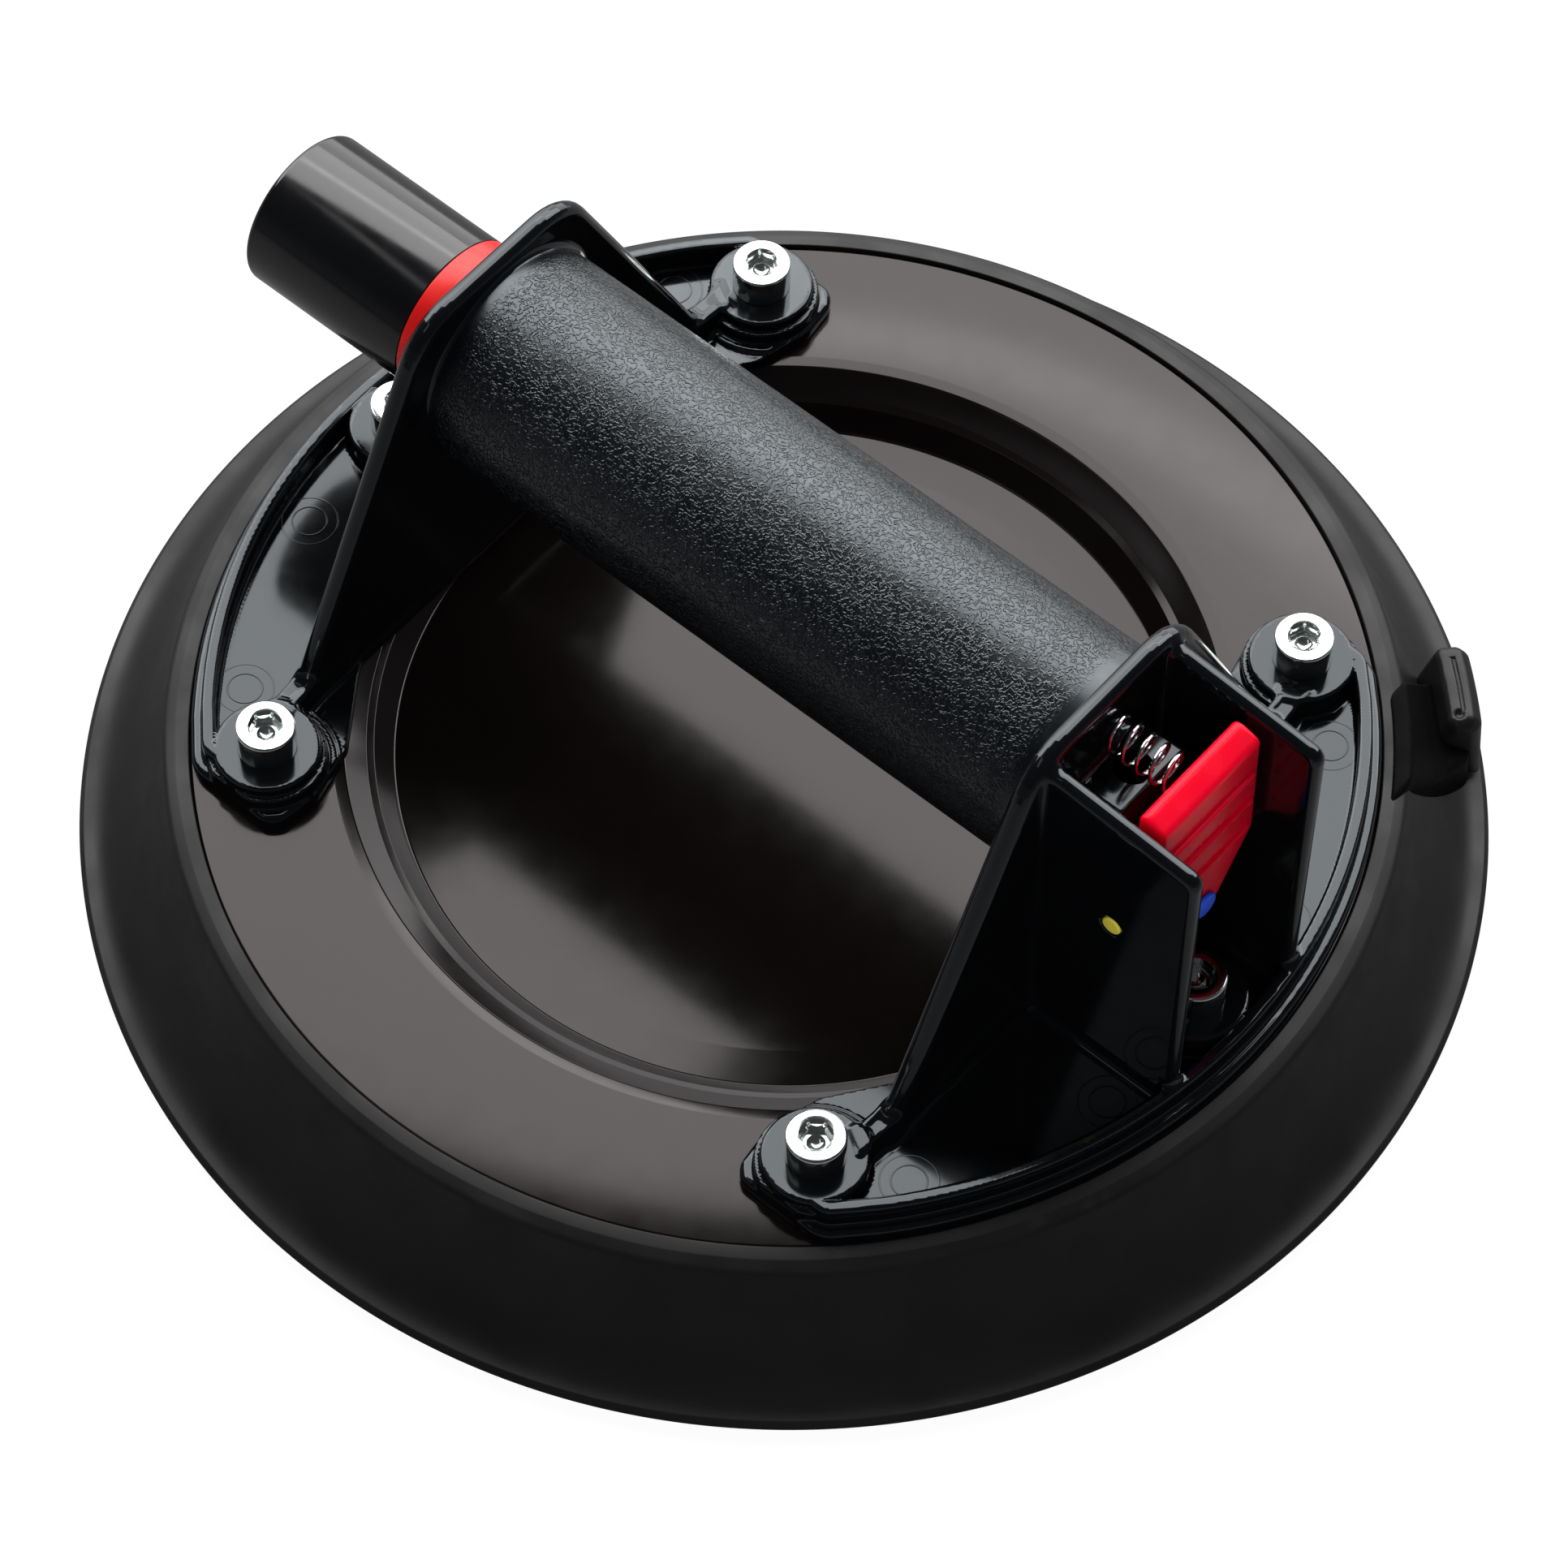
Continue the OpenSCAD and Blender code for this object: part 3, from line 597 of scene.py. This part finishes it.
def bracket_field(x, y, z):
    """What both brackets share: the foot, the flange and the screw holes."""
    web = outline([
        (FLANGE_IN, FLANGE_FOOT_W - 3), (FLANGE_OUT, FLANGE_FOOT_W - 3),
        (SCREW_SPOTS[2][0] + 4.5, SCREW_SPOTS[2][1] - 4), (SCREW_SPOTS[2][0] + 1, SCREW_SPOTS[2][1] - 6),
    ])
    web_slab = slab(inside_outline(web, x, np.abs(y)), PLATE_Z, BOSS_TOP, z, 0.5)
    body = join(foot_field(x, y, z), web_slab, 1.2)
    flange = slab(inside_outline(FLANGE, y, z), FLANGE_IN, FLANGE_OUT, x, 1.5)
    body = join(body, flange, 1.6)
    return cut(body, slab(from_screws(x, y) - SCREW_HOLE_R, 0, THROUGH, z, 0.1), 0.2)


def pump_bracket_field(x, y, z):
    """The bracket on the plunger's side, with a soft collar round the grip."""
    x = -x
    body = bracket_field(x, y, z)
    collar = slab(disc(y, z, (0, AXIS_Z), GRIP_R - 0.15), FLANGE_IN - 1, FLANGE_IN + 1, x, 0.1)
    body = join(body, collar, 1.6)
    return cut(body, slab(disc(y, z, (0, AXIS_Z), BARREL_R + BORE_GAP), 0, THROUGH, x, 0), 0.2)


def valve_bracket_field(x, y, z):
    """The bracket on the lever's side, with its two cheeks, air duct and spring stub."""
    body = bracket_field(x, y, z)
    side = outline([
        (FLANGE_IN + 1, PLATE_Z), (FLANGE_IN + 1, CHEEK_TOP), (FLANGE_OUT + 2, CHEEK_TOP),
        (CHEEK_X, CHEEK_TOP - 2, 2.2), (CHEEK_X, PLATE_Z),
    ], 8)
    middle = CHEEK_Y - CHEEK_T / 2
    cheek = slab(inside_outline(side, x, z), middle - CHEEK_T / 2, middle + CHEEK_T / 2, np.abs(y), 1.2)
    body = join(body, cheek, 1.4)
    rib = slab(np.maximum(np.maximum(FLANGE_IN + 1 - x, x - 63), np.abs(y) - 7), PLATE_Z, 71.5, z, 0.6)
    body = join(body, rib, 1.0)
    stub = slab(disc(y, z, (0, SPRING_Z), 2.2), FLANGE_IN + 1, FLANGE_OUT + 2.4, x, 0.4)
    body = join(body, stub, 0.4)
    pin_hole = slab(disc(x, z, (PIN_X, PIN_Z), PIN_R + 0.04), -100, 100, y, 0)
    countersink = slab(disc(x, z, (PIN_X, PIN_Z), PIN_R + 0.35), CHEEK_Y - 0.35, 100, np.abs(y), 0.1)
    nozzle_bore = slab(disc(y, z, (0, NOZZLE_Z), 3.0), 61.6, 70, x, 0)
    body = cut(cut(body, pin_hole, 0.1), countersink, 0.3)
    body = cut(body, nozzle_bore, 0.2)
    return cut(body, slab(disc(y, z, (0, AXIS_Z), 4.55), 0, 56.5, x, 0), 0.2)


def pump_bracket():
    return skin("pump_side_bracket", pump_bracket_field, (-FOOT_R - 1, -65, PLATE_Z - 1),
                (-41, 65, FLANGE_TOP + 1), BRACKET_STEP)


def valve_bracket():
    return skin("valve_side_bracket", valve_bracket_field, (41, -65, PLATE_Z - 1),
                (FOOT_R + 1, 65, FLANGE_TOP + 1), BRACKET_STEP)


def ejector_marks(name, side):
    """Faint rings that the moulding tool's pins leave on the pocket floors."""
    rings = []
    for x, y in EJECTOR_SPOTS:
        for s in (1, -1):
            for radius, height in ((2.5, 0.1), (4.1, 0.05)):
                ring = lathe(name, [
                    (radius - 0.16, -0.1), (radius - 0.1, height, 0.04), (radius + 0.1, height, 0.04),
                    (radius + 0.16, -0.1),
                ], segments=72)
                ring.location = (side * x * MM, s * y * MM, POCKET_Z * MM)
                rings.append(ring)
    return merge(name, *rings)


# ---- Screws ----

def cap_screw(name, spot, turn, segments=96):
    """An M5 socket cap screw standing on a boss, as rings that turn from circles to the hexagon."""
    floor_z = HEAD_H - SOCKET_DEPTH
    flat = SOCKET_AF / 2
    turned = outline([
        (0, -SHANK_L), (SHANK_R, -SHANK_L, 0.4), (SHANK_R, 0), (HEAD_R, 0, 0.2), (HEAD_R, HEAD_H, 0.35),
        (0, HEAD_H),
    ], 4)[:-1]
    sections = [(radius, z, False) for radius, z in turned] + [
        (flat + 0.55, HEAD_H, False), (flat + 0.42, HEAD_H - 0.06, False), (flat, HEAD_H - 0.38, True),
        (flat, floor_z + 0.1, True), (flat - 0.1, floor_z, True), (1.35, floor_z - 0.02, False),
        (0, floor_z - 1.1, False),
    ]
    turns = np.arange(segments) * 2 * math.pi / segments
    hexagon = 1 / np.cos((turns + math.pi / 6) % (math.pi / 3) - math.pi / 6)
    rings, points = [], []
    for radius, z, is_hexagon in sections:
        height = BOSS_TOP + z
        if radius < TINY:
            rings.append([len(points)] * segments)
            points.append((spot[0], spot[1], height))
            continue
        rings.append(list(range(len(points), len(points) + segments)))
        reach = radius * hexagon if is_hexagon else np.full(segments, radius)
        x, y = spot[0] + reach * np.cos(turns + turn), spot[1] + reach * np.sin(turns + turn)
        points += [(a, b, height) for a, b in zip(x, y)]
    return make_mesh(name, points, stitch(rings), crease=30)


def screws(name, side, turn):
    made = [cap_screw(name, (side * x, y), turn + 1.3 * k) for k, (x, y) in enumerate(SCREW_SPOTS)]
    return merge(name, *made)


# ---- Grip and pump ----

def grip():
    """Sleeve round the pump's cylinder."""
    inner = BARREL_R + BORE_GAP
    return lathe("grip", [
        (-FLANGE_IN, inner), (-FLANGE_IN, GRIP_R, 0.3), (FLANGE_IN, GRIP_R, 0.3), (FLANGE_IN, inner),
    ], axis="x", height=AXIS_Z)


def plunger():
    """Hollow plunger with a dished end and a groove for the red ring."""
    left, right = PLUNGER_LOW.x, PLUNGER_HIGH.x
    groove_r, bore_r = PLUNGER_R - 1.2, PLUNGER_R - 2.4
    return lathe("plunger_tube", [
        (left + 0.8, 0), (left + 0.8, PLUNGER_R - 3.4, 0.3), (left, PLUNGER_R - 2.8, 0.4),
        (left, PLUNGER_R, 0.9), (RING_LOW.x, PLUNGER_R, 0.15), (RING_LOW.x, groove_r),
        (RING_HIGH.x, groove_r), (RING_HIGH.x, PLUNGER_R, 0.15), (right, PLUNGER_R, 0.3), (right, bore_r),
        (left + 4, bore_r), (left + 4, 0),
    ], axis="x", height=AXIS_Z, steps=8)


def indicator_ring():
    inner, outer = PLUNGER_R - 1.2, PLUNGER_R - 0.02
    return lathe("red_band", [
        (RING_LOW.x, inner), (RING_LOW.x + 0.03, outer, 0.2), (RING_HIGH.x - 0.03, outer, 0.2),
        (RING_HIGH.x, inner),
    ], axis="x", height=AXIS_Z)


# ---- Release lever ----

def lever_field(x, y, z):
    """Ribbed blade on a hub, with a stub for the spring and a hole for the seal button."""
    back, front, arm, half = LEVER_BACK, LEVER_FRONT, 71, LEVER_HALF
    foot, top = LEVER_LOW.z, LEVER_HIGH.z
    side = outline([
        (back, top, 1.3), (front - 0.3, top - 1.7, 1.2), (front + 0.2, foot, 0.5), (arm, foot, 0.5),
        (arm, 53.6, 1), (back, 56.5, 0.5),
    ])
    face = outline(mirrored([(top, half, 1.6), (59, half, 2.5), (foot, 2.8, 1.2)]))[:, ::-1]
    blade = slab(inside_outline(side, x, z), -half, half, y, 0.7)
    blade = cut(blade, -slab(inside_outline(face, y, z), 0, THROUGH, x, 0), 0.8)
    hub = slab(disc(x, z, (PIN_X, PIN_Z), 3.6), -10.8, 10.8, y, 0.4)
    body = join(blade, hub, 1.5)
    for k in range(3):
        ridge = slab(disc(x, z, (front + 0.1, RIB_Z + RIB_PITCH * k), 0.42), -half + 1.6, half - 1.6, y, 0.2)
        body = join(body, ridge, 0.1)
    stub = slab(disc(y, z, (0, SPRING_Z), 1.5), back - 0.5, back + 1, x, 0.4)
    body = join(body, stub, 0.3)
    body = cut(body, slab(disc(x, z, (PIN_X, PIN_Z), PIN_R + BORE_GAP), -50, 50, y, 0), 0.1)
    return cut(body, slab(disc(y, z, (0, NOZZLE_Z), 1.6), 60, 90, x, 0), 0.15)


def release_lever():
    margin = Vector((0.8, 0.8, 0.8))
    return skin("thumb_lever", lever_field, LEVER_LOW - margin, LEVER_HIGH + margin, LEVER_STEP)


def valve_plug():
    """Rubber button through the lever, sealing at its inner end."""
    low, high = corners_of("valve_plug")
    seal_r, stem_r, head_r, end = 2.25, 1.58, 2.1, high.x - 0.4
    return lathe("seal_button", [
        (low.x, 0), (low.x, seal_r, 0.4), (71, seal_r, 0.3), (71, stem_r), (73, stem_r), (73, head_r, 0.3),
        (end, head_r, 0.4), (end, 0),
    ], segments=64, axis="x", height=NOZZLE_Z)


def lever_pin():
    """Hinge pin across the cheeks, turned round Z and then laid along Y."""
    end = PIN_HIGH.y
    pin = lathe("hinge_pin", [(0, -end), (PIN_R, -end, 0.25), (PIN_R, end, 0.25), (0, end)], segments=48)
    for v in pin.data.vertices:
        x, y, z = v.co
        v.co = (x + PIN_X * MM, -z, y + PIN_Z * MM)
    return pin


# ---- The object ----

put_on(suction_pad(), RUBBER, replaces=["suction_pad"])
# The strap's near-black, glossless finish is painted shade, not the rubber's own colour.
put_on(skin("pull_tab_strap", strap_field, (60, 42, 2), (75, 78, 24), STRAP_STEP), STRAP_PAINTED_SHADE)
put_on(skin("pull_tab_bar", bar_field, (56, 58, 2), (78, 84, 20), BAR_STEP), BAR)
put_on(backing_plate(), PAINT, replaces=["backing_plate"])
put_on(pump_bracket(), MOULDED, replaces=["pump_bracket"])
put_on(valve_bracket(), MOULDED, replaces=["valve_bracket"])
put_on(ejector_marks("pump_side_marks", -1), MOULDED)
put_on(ejector_marks("valve_side_marks", 1), MOULDED)
put_on(screws("pump_side_screws", -1, 0.35), ZINC, replaces=["pump_bracket_screws"])
put_on(screws("valve_side_screws", 1, 0.15), ZINC, replaces=["valve_bracket_screws"])
put_on(grip(), GRIP, replaces=["grip_sleeve"])
put_on(plunger(), PLUNGER, "plunger", ["plunger"])
put_on(indicator_ring(), RED_RING, "plunger", ["indicator_ring"])
put_on(release_lever(), RED_LEVER, "lever", ["release_lever"])
put_on(valve_plug(), BLUE, "lever", ["valve_plug"])
put_on(lever_pin(), BRASS, replaces=["lever_pin"])

for cad_name, joint, coil_r, wire_r, turns, travel, fixed_end in (
    ("lever_spring", "lever_pivot", 2.75, 0.3, 5, 4.0, "low"),
    ("plunger_spring", "plunger_slide", 7.6, 0.55, 11, 28.0, "high"),
    ("check_valve_spring", "check_valve_lift", 2.4, 0.2, 4, 1.0, "low"),
):
    low, high = corners_of(cad_name)
    spring = coil(cad_name + "_wire", low.x, high.x, coil_r, wire_r, turns, (low.z + high.z) / 2)
    put_on(spring, WIRE, replaces=[cad_name])
    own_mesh(spring)

for cad_name, finish in {
    "clinch_nuts": ZINC, "pump_cylinder": ALUMINIUM, "plunger_guide": INNER, "piston": ACETAL,
    "piston_cup": SEAL, "piston_screw": ZINC, "pump_head": INNER, "head_o_ring": SEAL,
    "check_valve_cage": ACETAL, "check_valve_disc": SEAL, "duct_plug": INNER, "port_fitting": BRASS,
    "port_seal": SEAL, "port_filter": FELT, "valve_nozzle": BRASS,
}.items():
    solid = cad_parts[cad_name]
    solid.data.materials.clear()
    solid.data.materials.append(finish)


# ---- Floor, light and camera ----

def floor():
    """A sheet that the camera sees as near white and the object reflects as grey."""
    reach = 8.0
    mesh = bpy.data.meshes.new("floor")
    mesh.from_pydata([(-reach, -reach, 0), (reach, -reach, 0), (reach, reach, 0), (-reach, reach, 0)],
                     [], [(0, 1, 2, 3)])
    plane = bpy.data.objects.new("floor", mesh)
    bpy.context.scene.collection.objects.link(plane)
    pale = bpy.data.materials.new("floor")
    pale.use_nodes = True
    tree = pale.node_tree
    tree.nodes.clear()
    seen = add(tree, "AddShader")
    glow = add(tree, "Emission", Color=(1, 1, 1, 1), Strength=0.95)
    tree.links.new(glow.outputs[0], seen.inputs[0])
    tree.links.new(add(tree, "BsdfDiffuse", Color=(0.06, 0.06, 0.06, 1)).outputs[0], seen.inputs[1])
    blend = add(tree, "MixShader")
    tree.links.new(add(tree, "LightPath").outputs["Is Camera Ray"], blend.inputs[0])
    tree.links.new(add(tree, "BsdfDiffuse", Color=(0.17, 0.17, 0.17, 1)).outputs[0], blend.inputs[1])
    tree.links.new(seen.outputs[0], blend.inputs[2])
    tree.links.new(blend.outputs[0], add(tree, "OutputMaterial").inputs[0])
    mesh.materials.append(pale)


def toward(azimuth, elevation):
    a, e = math.radians(azimuth), math.radians(elevation)
    return Vector((math.sin(a) * math.cos(e), -math.cos(a) * math.cos(e), math.sin(e)))


def softbox(name, azimuth, elevation, distance, width, height, radiance):
    """A rectangular area light facing the object."""
    light = bpy.data.lights.new(name, "AREA")
    light.shape = "RECTANGLE"
    light.size, light.size_y = width, height
    light.energy = radiance * math.pi * width * height
    lamp = bpy.data.objects.new(name, light)
    bpy.context.scene.collection.objects.link(lamp)
    direction = toward(azimuth, elevation)
    lamp.location = direction * distance
    lamp.rotation_mode = "QUATERNION"
    lamp.rotation_quaternion = direction.to_track_quat("Z", "Y")
    lamp.visible_camera = False
    return lamp


def surroundings():
    """A dim studio that the camera sees as white."""
    world = bpy.data.worlds.new("studio")
    bpy.context.scene.world = world
    world.use_nodes = True
    tree = world.node_tree
    tree.nodes.clear()
    height = add(tree, "SeparateXYZ", Vector=add(tree, "TexCoord").outputs["Generated"]).outputs[2]
    level = spread(tree, height, 0.14, 0.04, 0.0, 0.4)
    dim = add(tree, "Background", Color=(0.93, 0.95, 1.0, 1.0), Strength=level)
    white = add(tree, "Background", Color=(1, 1, 1, 1), Strength=1.0)
    blend = add(tree, "MixShader")
    tree.links.new(add(tree, "LightPath").outputs["Is Camera Ray"], blend.inputs[0])
    tree.links.new(dim.outputs[0], blend.inputs[1])
    tree.links.new(white.outputs[0], blend.inputs[2])
    tree.links.new(blend.outputs[0], add(tree, "OutputWorld").inputs[0])


def camera():
    """The photograph's view: a long lens, with the photograph's slight roll."""
    azimuth, elevation, roll = 39.12, 57.35, math.radians(1.44)
    distance = 983
    data = bpy.data.cameras.new("camera")
    data.sensor_width = 36.0
    data.lens = 156.0
    data.clip_start, data.clip_end = 0.05, 50
    back = toward(azimuth, elevation)
    right = Vector((math.cos(math.radians(azimuth)), math.sin(math.radians(azimuth)), 0))
    up = back.cross(right)
    target = right * -0.18 + up * 3.53
    lens = bpy.data.objects.new("camera", data)
    bpy.context.scene.collection.objects.link(lens)
    lens.location = (target + back * distance) * MM
    lens.rotation_mode = "QUATERNION"
    turned = right * math.cos(roll) + up * math.sin(roll)
    raised = up * math.cos(roll) - right * math.sin(roll)
    lens.rotation_quaternion = Matrix((turned, raised, back)).transposed().to_quaternion()
    bpy.context.scene.camera = lens


floor()
surroundings()
softbox("window", 219, 48, 1.3, 3.1, 1.1, 4.9)
softbox("window_bar", 219, 50, 1.25, 2.9, 0.09, 3.1)
softbox("window_sill", 219, 12, 1.5, 3.1, 0.62, 2.4)
softbox("far_strip", 315.6, 61, 1.2, 0.6, 0.1, 1.0)
fill = softbox("front_fill", 44, 40, 1.6, 1.2, 1.2, 2.8)
fill.visible_glossy = False
camera()
bpy.context.scene.view_settings.view_transform = "Standard"
